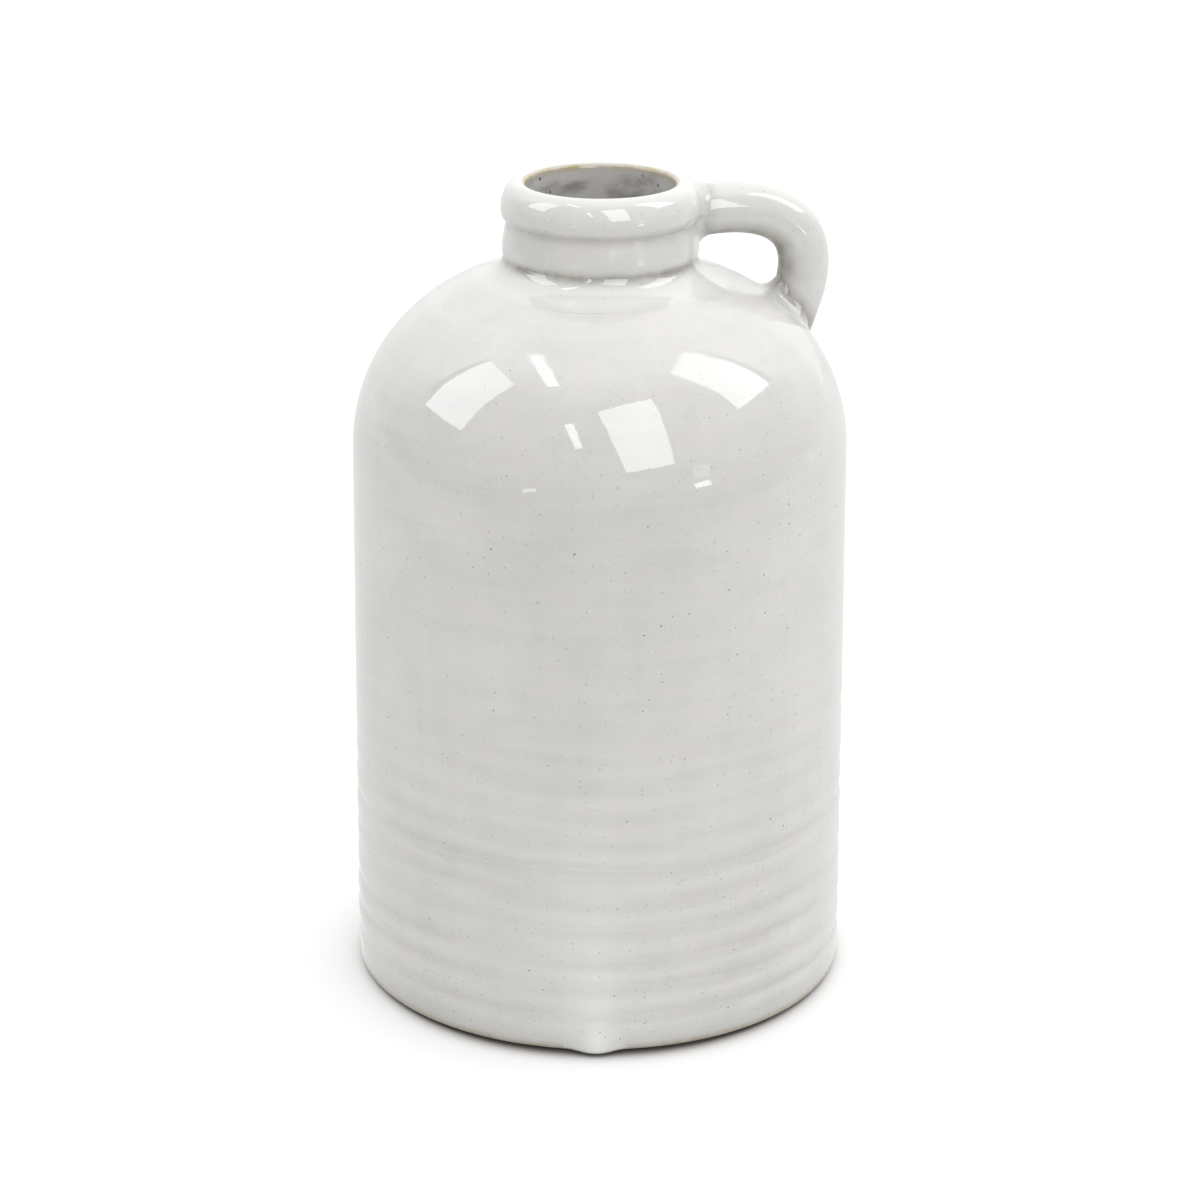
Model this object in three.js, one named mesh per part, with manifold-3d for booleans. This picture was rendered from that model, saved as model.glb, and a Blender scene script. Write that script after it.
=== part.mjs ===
// Thrown stoneware jug vase: a straight wall closing into a round shoulder, a short collar with a
// rolled rim, and one pulled ear handle. It stands on z = 0 with its axis on Z and its handle
// along +X. Lengths are in millimetres and angles in degrees.
import * as THREE from 'three';
import { mergeVertices } from 'three/addons/utils/BufferGeometryUtils.js';
import Module from 'manifold-3d';

const wasm = await Module();
wasm.setup();

// Floor slab and foot
const floorHeight = 12.5; // top of the slab, where the wall is luted on
const footInset = 1.7; // how far the standing ring lies inside the wall
const footEdge = 4; // height of the rounded lower edge
const footWidth = 9; // flat ring that rests on the table
const recessDepth = 2; // hollow turned inside that ring
const recessSlope = 3; // run of the hollow's sloping side

// Wall and shoulder
const wallRadius = 81; // outside, between the lowest rings
const wallTaper = 1.5; // how much narrower the wall is at the shoulder
const wallRise = 166; // straight wall, from the slab to the shoulder
const wallThickness = 6;
const heelFillet = 8; // round inside corner between wall and floor
const shoulderArc = 58; // round of the shoulder, outside
const ringPitch = 10; // one throwing ring to the next
const ringCount = 10;
const ringDepth = 0.5; // deepest at the slab, fading out upwards

// Collar and rim
const collarRadius = 31.2;
const collarThickness = 7.6; // clay between the collar's outside and the mouth
const collarHeight = 16.4; // from its seat on the shoulder to the groove under the rim
const seatLip = 0.6; // flat seat on the shoulder, past the collar
const grooveDepth = 1.4;
const grooveReach = 9; // the collar draws in to the groove over this height
const rimOverhang = 0.3; // the roll stands out past the collar
const rimHeight = 12.5; // above the groove
const rimBelly = 4.2; // widest line of the roll above the groove
const lipRound = 2.2; // drop from the crown of the roll to the mouth's edge
const neckLuteWidth = 9.5; // fillet of clay over the shoulder
const neckLuteHeight = 4.8; // fillet of clay up the collar

// Handle, as a curve in the XZ plane from the collar out and down to the shoulder
const handleThickness = 16.4;
const handleSetDown = 1.3; // it leaves the collar this far below the groove
const handleReach = 31; // first pull of the curve, outwards
const handleLift = 6.8; // first pull of the curve, upwards
const handleFootInset = 18.7; // it comes down on the shoulder this far inside the wall
const handleBow = 13.2; // last pull of the curve, outwards of its foot
const handleDrop = 28; // last pull of the curve, above its foot
const handleSink = 3; // the curve ends this far under the shoulder's surface
const luteReach = 6; // fillets climb this far along the handle
const luteFlare = 4; // and spread this far round it, on the inside of the bend
const luteBias = 0.75; // how much thinner they are on the outside of the bend

// Run of glaze at the foot
const runAngle = -104.5; // round from the handle
const runWidth = 17.5;
const runHeight = 26;
const runThickness = 1.5; // outside the wall
const runClearance = 0.6; // stops short of the table
const runNarrowing = 0.45; // share of its width lost towards the top

const slipGap = 0.3; // slip joint between pieces that are fitted to each other
const featherEdge = 0.5; // thinnest edge of a fillet
const turnSegments = 56;
const handleSides = 20;
const handleSteps = 26;

// Places that follow from those sizes
const handleRadius = handleThickness / 2;
const footRadius = wallRadius - footInset;
const recessRadius = footRadius - footWidth;
const shoulderZ = floorHeight + wallRise;
const shoulderRadius = wallRadius - wallTaper;
const arcCentre = shoulderRadius - shoulderArc;
const boreRadius = collarRadius - collarThickness;
const neckSeatRadius = collarRadius + seatLip;
const neckSeatZ = domeHeight(neckSeatRadius, shoulderArc);
const grooveRadius = collarRadius - grooveDepth;
const grooveZ = neckSeatZ + collarHeight;
const rimRadius = collarRadius + rimOverhang;
const rimTop = grooveZ + rimHeight;
const crownRadius = (boreRadius + rimRadius) / 2;
const handleFootRadius = wallRadius - handleFootInset;
const halfTurn = Math.PI;
const quarterTurn = Math.PI / 2;

// Height of a shoulder of the given arc at a radius; inside the arc's centre it is level.
function domeHeight(radius, arc) {
  return shoulderZ + Math.sqrt(arc ** 2 - Math.max(radius - arcCentre, 0) ** 2);
}

// Angle at which a shoulder of the given arc passes a radius.
function domeAngle(radius, arc) {
  return Math.acos(Math.max(radius - arcCentre, 0) / arc);
}

function at(radius, height) {
  return new THREE.Vector2(radius, height);
}

// Points of an elliptic arc in a radius and height outline.
function arcPoints(centre, radiusX, radiusZ, from, to, steps) {
  const clockwise = to < from;
  return new THREE.EllipseCurve(centre.x, centre.y, radiusX, radiusZ, from, to, clockwise).getPoints(steps);
}

// Points of a curve bent towards a corner.
function bendPoints(from, corner, to, steps) {
  return new THREE.QuadraticBezierCurve(from, corner, to).getPoints(steps);
}

// Closed solid of one geometry, with its shared corners merged.
function solidOf(geometry) {
  const bare = geometry.clone();
  bare.deleteAttribute('normal');
  bare.deleteAttribute('uv');
  const merged = mergeVertices(bare);
  const vertProperties = new Float32Array(merged.attributes.position.array);
  const triVerts = new Uint32Array(merged.index.array);
  return new wasm.Manifold(new wasm.Mesh({ numProp: 3, vertProperties, triVerts }));
}

function geometryOf(solid) {
  const mesh = solid.getMesh();
  const geometry = new THREE.BufferGeometry();
  geometry.setAttribute('position', new THREE.BufferAttribute(mesh.vertProperties, 3));
  geometry.setIndex(new THREE.BufferAttribute(mesh.triVerts, 1));
  geometry.computeVertexNormals();
  return geometry;
}

function cut(geometry, tools) {
  const solid = tools.reduce((rest, tool) => rest.subtract(solidOf(tool)), solidOf(geometry));
  return geometryOf(solid);
}

// Turns an outline of radius and height about the pot's axis.
function turned(outline) {
  return new THREE.LatheGeometry(outline, turnSegments).rotateX(quarterTurn);
}

// A ring piece: the outline closes on itself.
function turnedRing(outline) {
  return turned([...outline, outline[0]]);
}

function wallOutside(height) {
  const climbed = height - floorHeight;
  const fade = Math.max(1 - climbed / (ringPitch * ringCount), 0);
  const ring = (1 + Math.cos((2 * halfTurn * climbed) / ringPitch)) / 2;
  return wallRadius - (wallTaper * climbed) / wallRise - ringDepth * fade * ring;
}

// Outside of the slab's edge, from the foot up to the seam, pushed out by a gap.
function slabEdge(gap) {
  const bandTop = floorHeight - ringPitch / 2;
  return [
    ...arcPoints(at(footRadius, footEdge - gap), footInset + gap, footEdge, -quarterTurn, 0, 4),
    ...bendPoints(
      at(wallRadius + gap, Math.max(bandTop, footEdge)),
      at(wallRadius - ringDepth + gap, (bandTop + floorHeight) / 2),
      at(wallRadius - ringDepth + gap, floorHeight),
      3,
    ),
  ];
}

function baseSlab() {
  return turned([
    at(0, recessDepth),
    at(recessRadius - recessSlope, recessDepth),
    at(recessRadius, 0),
    ...slabEdge(0),
    at(0, floorHeight),
  ]);
}

// Outside of the wall and its rings, from the seam to the shoulder, pushed out by a gap.
function wallSide(gap) {
  const stepsPerRing = 3;
  const side = [];
  for (let step = 0; step <= ringCount * stepsPerRing; step++) {
    const height = floorHeight + (step * ringPitch) / stepsPerRing;
    if (height < shoulderZ) side.push(at(wallOutside(height) + gap, height));
  }
  return side;
}

function bodyWall() {
  const innerArc = shoulderArc - wallThickness;
  const innerRadius = shoulderRadius - wallThickness;
  const heel = at(innerRadius - heelFillet, floorHeight + heelFillet);
  const centre = at(arcCentre, shoulderZ);
  return turnedRing([
    ...wallSide(0),
    ...arcPoints(centre, shoulderArc, shoulderArc, 0, domeAngle(neckSeatRadius, shoulderArc), 11),
    at(boreRadius, neckSeatZ),
    at(boreRadius, domeHeight(boreRadius, innerArc)),
    ...arcPoints(centre, innerArc, innerArc, domeAngle(boreRadius, innerArc), 0, 8),
    ...arcPoints(heel, heelFillet, heelFillet, 0, -quarterTurn, 3),
  ]);
}

// Outside of the collar, from its seat up to the groove, pushed out by a gap.
function collarSide(gap) {
  const drawIn = grooveZ - Math.min(grooveReach, collarHeight);
  return [
    at(collarRadius + gap, neckSeatZ),
    ...bendPoints(
      at(collarRadius + gap, drawIn),
      at(collarRadius + gap, (drawIn + grooveZ) / 2),
      at(grooveRadius + gap, grooveZ),
      4,
    ),
  ];
}

function neckCollar() {
  return turnedRing([at(boreRadius, neckSeatZ), ...collarSide(0), at(boreRadius, grooveZ)]);
}

// Outside of the roll, from the groove over its belly to its crown, pushed out by a gap.
function rimRoll(gap) {
  const belly = grooveZ + rimBelly;
  return [
    ...arcPoints(at(grooveRadius, belly), rimRadius - grooveRadius + gap, rimBelly, -quarterTurn, 0, 4),
    ...arcPoints(
      at(crownRadius, belly),
      rimRadius - crownRadius + gap,
      rimHeight - rimBelly + gap,
      0,
      quarterTurn,
      6,
    ).slice(1),
  ];
}

function rolledRim() {
  const lip = at(crownRadius, rimTop - lipRound);
  return turnedRing([
    at(boreRadius, grooveZ),
    ...rimRoll(0),
    ...arcPoints(lip, crownRadius - boreRadius, lipRound, quarterTurn, halfTurn, 4).slice(1),
  ]);
}

// Hollow face of the fillet between shoulder and collar, from its outer edge up to its top.
function neckLuteFace(gap) {
  const arc = shoulderArc + slipGap;
  const top = at(collarRadius + slipGap + featherEdge + gap, neckSeatZ + neckLuteHeight + gap);
  const outerRadius = collarRadius + slipGap + neckLuteWidth;
  const edge = at(outerRadius + gap, domeHeight(outerRadius, arc) + featherEdge + gap);
  const slope = Math.tan(quarterTurn - domeAngle(outerRadius, arc));
  return bendPoints(edge, at(top.x, edge.y + slope * (edge.x - top.x)), top, 5);
}

function neckLute() {
  const arc = shoulderArc + slipGap;
  const inner = collarRadius + slipGap;
  const from = domeAngle(inner, arc);
  const to = domeAngle(inner + neckLuteWidth, arc);
  return turnedRing([
    ...arcPoints(at(arcCentre, shoulderZ), arc, arc, from, to, 3),
    ...neckLuteFace(0),
    at(inner, neckSeatZ + neckLuteHeight),
  ]);
}

// What the handle and its fillets are fitted against: the shoulder, the fillet on it, and the neck.
function neckTools() {
  const arc = shoulderArc + slipGap;
  const shoulder = [
    at(0, shoulderZ),
    ...arcPoints(at(arcCentre, shoulderZ), arc, arc, 0, domeAngle(boreRadius, arc), 18),
    at(0, domeHeight(boreRadius, arc)),
  ];
  const fillet = [at(0, shoulderZ), ...neckLuteFace(slipGap), at(0, neckSeatZ + neckLuteHeight + slipGap)];
  const neck = [at(0, neckSeatZ), ...collarSide(slipGap), ...rimRoll(slipGap).slice(1), at(0, rimTop + slipGap)];
  return [turned(shoulder), turned(fillet), turned(neck)];
}

// Centre line of the handle. It starts inside the collar and runs on under the shoulder.
function handleCurve() {
  const start = new THREE.Vector3((boreRadius + collarRadius) / 2, 0, grooveZ - handleSetDown);
  const footZ = domeHeight(handleFootRadius, shoulderArc) - handleSink;
  const foot = new THREE.Vector3(handleFootRadius, 0, footZ);
  const firstPull = start.clone().add(new THREE.Vector3(handleReach, 0, handleLift));
  const lastPull = foot.clone().add(new THREE.Vector3(handleBow, 0, handleDrop));
  const downwards = foot.clone().sub(lastPull).setLength(handleThickness);
  const path = new THREE.CurvePath();
  path.add(new THREE.CubicBezierCurve3(start, firstPull, lastPull, foot));
  path.add(new THREE.LineCurve3(foot, foot.clone().add(downwards)));
  return path;
}

const handlePath = handleCurve();

function handleTube(radius) {
  const section = new THREE.Shape().absarc(0, 0, radius, 0, 2 * halfTurn);
  return new THREE.ExtrudeGeometry(section, {
    curveSegments: handleSides / 2,
    steps: handleSteps,
    bevelEnabled: false,
    extrudePath: handlePath,
  });
}

// Point on a sleeve round the handle; angle 0 is the outside of the bend.
function sleevePoint(share, angle, radius) {
  const tangent = handlePath.getTangentAt(share);
  const outwards = new THREE.Vector3(-tangent.z, 0, tangent.x);
  const point = handlePath.getPointAt(share).addScaledVector(outwards, radius * Math.cos(angle));
  point.y += radius * Math.sin(angle);
  return point;
}

// Share of the handle's length, between two others, where its skin lies at a distance from the wall.
function shareAtDistance(near, far, angle, distance, wallDistance) {
  const halvings = 24;
  for (let halving = 0; halving < halvings; halving++) {
    const middle = (near + far) / 2;
    if (wallDistance(sleevePoint(middle, angle, handleRadius)) < distance) near = middle;
    else far = middle;
  }
  return near;
}

// Fillet of clay round one end of the handle: a sleeve that widens as it comes to the wall.
function handleLute(wallEnd, wallDistance, tools) {
  const middle = 0.5;
  const sides = 24;
  const climb = [1, 0.7, 0.4, 0.15, 0].map((share) => share * luteReach);
  const levels = [...climb, -handleSink];
  if (wallEnd < middle) levels.reverse();
  const rings = levels.map((level) => {
    const ring = [];
    for (let side = 0; side < sides; side++) {
      const angle = (2 * halfTurn * side) / sides;
      const share = shareAtDistance(wallEnd, middle, angle, level, wallDistance);
      const spread = (1 - Math.max(level, 0) / luteReach) ** 2;
      const weight = (1 - luteBias * Math.cos(angle)) / (1 + luteBias);
      const radius = handleRadius + slipGap + featherEdge + luteFlare * weight * spread;
      ring.push(sleevePoint(share, angle, radius));
    }
    return ring;
  });
  return cut(lofted(rings), [handleTube(handleRadius + slipGap), ...tools]);
}

// Closed skin over a row of rings that have the same number of points.
function lofted(rings) {
  const sides = rings[0].length;
  const points = rings.flat();
  const faces = [];
  for (let row = 0; row < rings.length - 1; row++) {
    for (let side = 0; side < sides; side++) {
      const here = row * sides + side;
      const beside = row * sides + ((side + 1) % sides);
      faces.push(here, here + sides, beside, beside, here + sides, beside + sides);
    }
  }
  const last = points.length - sides;
  for (let side = 1; side < sides - 1; side++) {
    faces.push(0, side, side + 1);
    faces.push(last, last + side + 1, last + side);
  }
  const geometry = new THREE.BufferGeometry().setFromPoints(points);
  geometry.setIndex(faces);
  return geometry;
}

// Bead of glaze: a flat drop laid on the wall, hanging over the foot's edge.
function glazeRun() {
  const rows = 10;
  const drop = [];
  for (let row = 0; row <= rows; row++) {
    const turn = (halfTurn * row) / rows - quarterTurn;
    const height = (Math.sin(turn) * runHeight) / 2;
    const narrowing = 1 - (runNarrowing * (1 + Math.sin(turn))) / 2;
    drop.push(at((Math.cos(turn) * narrowing * runWidth) / 2, height));
  }
  drop[0].x = 0;
  drop[rows].x = 0;
  const bead = new THREE.LatheGeometry(drop, 20).rotateX(quarterTurn);
  bead.scale((2 * runThickness) / runWidth, 1, 1);
  bead.translate(wallRadius, 0, runClearance + runHeight / 2);
  bead.rotateZ(THREE.MathUtils.degToRad(runAngle));
  const backing = [at(0, 0), ...slabEdge(slipGap), ...wallSide(slipGap).slice(1)];
  return cut(bead, [turned([...backing, at(0, backing.at(-1).y)])]);
}

const neckFit = neckTools();

function shoulderDistance(point) {
  const outside = Math.hypot(point.x, point.y) - arcCentre;
  return Math.hypot(outside, point.z - shoulderZ) - shoulderArc;
}

function collarDistance(point) {
  return Math.hypot(point.x, point.y) - collarRadius;
}

const glaze = { color: 0xdad9d4, roughness: 0.15, metalness: 0 };
const thickGlaze = { color: 0xe2e1dc, roughness: 0.1, metalness: 0 };
const jug = new THREE.Group();

function addPiece(name, geometry, finish) {
  const mesh = new THREE.Mesh(geometry, new THREE.MeshStandardMaterial(finish));
  mesh.name = name;
  jug.add(mesh);
}

addPiece('base_slab', baseSlab(), glaze);
addPiece('body_wall', bodyWall(), glaze);
addPiece('neck_lute', neckLute(), glaze);
addPiece('neck_collar', neckCollar(), glaze);
addPiece('rolled_rim', rolledRim(), glaze);
addPiece('handle', cut(handleTube(handleRadius), neckFit), glaze);
addPiece('upper_lute', handleLute(0, collarDistance, neckFit), glaze);
addPiece('lower_lute', handleLute(1, shoulderDistance, neckFit), glaze);
addPiece('glaze_run', glazeRun(), thickGlaze);

export default jug;
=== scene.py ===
import math

import bmesh
import bpy
import numpy as np
from mathutils import Euler, Matrix, Vector
from mathutils.bvhtree import BVHTree


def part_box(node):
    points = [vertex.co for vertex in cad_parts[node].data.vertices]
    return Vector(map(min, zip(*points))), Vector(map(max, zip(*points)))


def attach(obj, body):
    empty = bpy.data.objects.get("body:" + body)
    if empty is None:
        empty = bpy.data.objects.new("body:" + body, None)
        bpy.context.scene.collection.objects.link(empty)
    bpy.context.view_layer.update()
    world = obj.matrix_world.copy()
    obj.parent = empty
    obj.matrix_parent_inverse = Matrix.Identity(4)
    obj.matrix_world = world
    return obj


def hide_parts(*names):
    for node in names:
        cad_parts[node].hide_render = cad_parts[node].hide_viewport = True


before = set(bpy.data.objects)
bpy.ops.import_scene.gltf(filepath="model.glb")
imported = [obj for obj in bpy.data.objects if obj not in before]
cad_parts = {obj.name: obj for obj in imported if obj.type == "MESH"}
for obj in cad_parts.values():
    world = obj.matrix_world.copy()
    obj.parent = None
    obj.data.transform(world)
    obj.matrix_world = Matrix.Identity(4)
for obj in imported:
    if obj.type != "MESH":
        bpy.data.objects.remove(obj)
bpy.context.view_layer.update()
mm = 0.001  # shapes are worked out in millimetres and stored in metres
tiny = 1e-6
print("frame loaded:", ", ".join(sorted(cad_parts)))


def highCorner(cadNode):
    return np.array(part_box(cadNode)[1]) / mm


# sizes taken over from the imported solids
wallRadius, _, floorZ = highCorner("base_slab")
seatZ = highCorner("body_wall")[2]
collarRadius, _, grooveZ = highCorner("neck_collar")
rimRadius, _, rimTop = highCorner("rolled_rim")


# outlines of radius and height


def arc(centreR, centreZ, radiusR, radiusZ, fromDeg, toDeg, count):
    turn = np.radians(np.linspace(fromDeg, toDeg, count))
    return np.column_stack([centreR + radiusR * np.cos(turn), centreZ + radiusZ * np.sin(turn)])


def unit(values):
    return np.clip(values, 0, 1)


def bend(points, count):
    pts = [np.asarray(p, float) for p in points]
    out = []
    for t in np.linspace(0, 1, count):
        row = pts
        while len(row) > 1:
            row = [a + (b - a) * t for a, b in zip(row, row[1:])]
        out.append(row[0])
    return np.array(out)


def evenly(outline, step):
    outline = np.asarray(outline, float)
    gaps = np.linalg.norm(np.diff(outline, axis=0), axis=1)
    along = np.concatenate([[0], np.cumsum(gaps)])
    at = np.linspace(0, along[-1], max(2, int(round(along[-1] / step)) + 1))
    return np.column_stack([np.interp(at, along, outline[:, k]) for k in range(outline.shape[1])])


def chain(*runs):
    joined = [np.atleast_2d(np.asarray(runs[0], float))]
    for run in runs[1:]:
        run = np.atleast_2d(np.asarray(run, float))
        joined.append(run[1:] if np.allclose(run[0], joined[-1][-1], atol=tiny) else run)
    return np.concatenate(joined)


# meshes


def gridFaces(rows, columns, rowsClose):
    faces = []
    for r in range(rows if rowsClose else rows - 1):
        here, over = r * columns, ((r + 1) % rows) * columns
        for c in range(columns):
            d = (c + 1) % columns
            faces.append((here + c, here + d, over + d, over + c))
    return faces


def endFans(rows, columns):
    # closes a grid's first and last rows onto the two points that follow its own
    first = rows * columns
    edge = first - columns
    faces = []
    for c in range(columns):
        d = (c + 1) % columns
        faces += [(first, d, c), (first + 1, edge + c, edge + d)]
    return faces


def linked(name, mesh):
    obj = bpy.data.objects.new(name, mesh)
    bpy.context.scene.collection.objects.link(obj)
    return obj


def bareObject(name, points, faces):
    mesh = bpy.data.meshes.new(name)
    mesh.from_pydata((np.asarray(points) * mm).tolist(), [], faces)
    work = bmesh.new()
    work.from_mesh(mesh)
    bmesh.ops.recalc_face_normals(work, faces=work.faces)
    work.to_mesh(mesh)
    work.free()
    return linked(name, mesh)


def giveValues(obj, **values):
    for key, numbers in values.items():
        layer = obj.data.attributes.get(key) or obj.data.attributes.new(key, "FLOAT", "POINT")
        layer.data.foreach_set("value", np.asarray(numbers, np.float32))


def readPoints(obj):
    flat = np.zeros(len(obj.data.vertices) * 3)
    obj.data.vertices.foreach_get("co", flat)
    return flat.reshape(-1, 3) / mm


def fullTurn(count):
    return np.linspace(0, 2 * math.pi, count, endpoint=False)


def turnedPiece(name, outline, segments, ring=True):
    # turns an outline about the pot's axis; without ring it starts and ends on the axis
    turn = fullTurn(segments)
    body = outline if ring else outline[1:-1]
    rows = np.stack([np.outer(body[:, 0], np.cos(turn)), np.outer(body[:, 0], np.sin(turn)),
                     np.repeat(body[:, 1:2], segments, axis=1)], axis=2)
    points = rows.reshape(-1, 3)
    faces = gridFaces(len(body), segments, ring)
    if not ring:
        points = np.concatenate([points, [[0, 0, outline[0, 1]], [0, 0, outline[-1, 1]]]])
        faces += endFans(len(body), segments)
    return bareObject(name, points, faces)


def treeOf(*objs):
    points, faces = [], []
    for o in objs:
        base = len(points)
        points += [v.co / mm for v in o.data.vertices]
        faces += [[base + i for i in p.vertices] for p in o.data.polygons]
    return BVHTree.FromPolygons(points, faces)


# finishes


def node(tree, kind, inputs=None, **props):
    made = tree.nodes.new(kind)
    for key, value in props.items():
        setattr(made, key, value)
    for key, value in (inputs or {}).items():
        socket = made.inputs[key]
        if isinstance(value, bpy.types.NodeSocket):
            tree.links.new(value, socket)
        else:
            socket.default_value = value
    return made


def maths(tree, operation, *values, clamp=False):
    inputs = dict(enumerate(values))
    return node(tree, "ShaderNodeMath", inputs, operation=operation, use_clamp=clamp).outputs[0]


def product(tree, *values):
    total = values[0]
    for value in values[1:]:
        total = maths(tree, "MULTIPLY", total, value)
    return total


def vectorMaths(tree, operation, *values, **named):
    inputs = {**dict(enumerate(values)), **named}
    made = node(tree, "ShaderNodeVectorMath", inputs, operation=operation)
    return made.outputs["Value" if operation in ("LENGTH", "DISTANCE", "DOT_PRODUCT") else "Vector"]


def blendColour(tree, share, first, second):
    made = node(tree, "ShaderNodeMix", data_type="RGBA")
    for socket, value in ((made.inputs[0], share), (made.inputs[6], first), (made.inputs[7], second)):
        if isinstance(value, bpy.types.NodeSocket):
            tree.links.new(value, socket)
        else:
            socket.default_value = (*value, 1)
    return made.outputs[2]


def remap(tree, value, low, high, toLow=0.0, toHigh=1.0):
    names = {"Value": value, "From Min": low, "From Max": high, "To Min": toLow, "To Max": toHigh}
    return node(tree, "ShaderNodeMapRange", names, interpolation_type="SMOOTHSTEP").outputs[0]


def surfaceMillimetres(tree):
    place = node(tree, "ShaderNodeTexCoord").outputs["Object"]
    return vectorMaths(tree, "SCALE", place, Scale=1 / mm)


def stretched(tree, place, scale):
    return node(tree, "ShaderNodeMapping", {"Vector": place, "Scale": scale}).outputs[0]


def noise(tree, place, scale, detail=3.0, roughness=0.55):
    names = {"Vector": place, "Scale": scale, "Detail": detail, "Roughness": roughness}
    return node(tree, "ShaderNodeTexNoise", names).outputs[0]


def painted(tree, name):
    return node(tree, "ShaderNodeAttribute", attribute_name=name).outputs["Fac"]


def newFinish(name, inputs=None):
    made = bpy.data.materials.new(name)
    made.use_nodes = True
    tree = made.node_tree
    tree.nodes.clear()
    shader = node(tree, "ShaderNodeBsdfPrincipled", inputs)
    out = node(tree, "ShaderNodeOutputMaterial")
    tree.links.new(shader.outputs[0], out.inputs["Surface"])
    return made, tree, shader


def bumped(tree, shader, height, look):
    names = {"Height": height, "Strength": look["bump"], "Distance": look["bumpDepth"]}
    tree.links.new(node(tree, "ShaderNodeBump", names).outputs[0], shader.inputs["Normal"])


# scales are per millimetre, ranges are the part of a noise that is used
glazeLook = dict(
    pale=(0.612, 0.607, 0.589),
    grey=(0.552, 0.548, 0.533),
    warm=(0.602, 0.588, 0.545),
    milkyAndPaintedLight=(0.715, 0.712, 0.692),  # thick, where the run came down; also painted light on the fillet, collar, rim and handle
    tan=(0.41, 0.34, 0.205),  # thin, over sharp edges
    oliveAndShade=(0.25, 0.235, 0.20),  # glaze gathered in creases, with painted shade in creases and under the handle
    smudge=(0.25, 0.235, 0.21),  # ash marks inside the neck
    iron=(0.07, 0.058, 0.046),
    cloudScale=1 / 24.0, cloudShare=0.44,
    bandScale=(0.02, 0.02, 1 / 4.5), bandShare=0.26,
    fineScale=1 / 0.8, fineShare=0.3,
    streakScale=(0.2, 0.2, 0.012), streakShare=0.14,
    toneRange=(0.43, 0.71),
    patchScale=(0.06, 0.06, 0.11), patchRange=(0.38, 0.66), patchShares=(0.0, 0.5),
    milkyShare=0.8,
    raggedScale=0.16, raggedRange=(0.3, 0.7), raggedShares=(0.6, 1.2),
    ashScale=(0.07, 0.07, 0.16), ashRange=(0.42, 0.7), ashShares=(0.1, 0.8),
    faintHeights=(165.0, 240.0), faintShares=(1.0, 0.55),
    roughness=0.02, cloudRough=0.03, brokenRough=0.06, spongedRough=0.15,
    peelScale=0.16, waveScale=0.045, waveShare=2.4, bump=0.25, bumpDepth=0.1 * mm,
    refraction=1.5,
)
# iron specks: distance between them, size as a share of that, strength
speckSets = [(4.4, 0.11, 0.8), (1.9, 0.19, 0.6)]
blotSet = (3.6, 0.26, 0.95)
dotSet = (2.4, 0.2, 0.72)
speckSpread = dict(least=0.3, faintest=0.25, core=0.35)


def specks(tree, place, pitch, size, strength):
    cells = node(tree, "ShaderNodeTexVoronoi", {"Vector": place, "Scale": 1 / pitch})
    pick = node(tree, "ShaderNodeSeparateColor", {0: cells.outputs["Color"]}).outputs
    reach = remap(tree, pick[0], 0.1, 1.0, speckSpread["least"] * size, size)
    core = product(tree, reach, speckSpread["core"])
    spot = remap(tree, cells.outputs["Distance"], reach, core)
    return product(tree, spot, remap(tree, pick[1], 0.0, 1.0, speckSpread["faintest"] * strength, strength))


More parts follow.
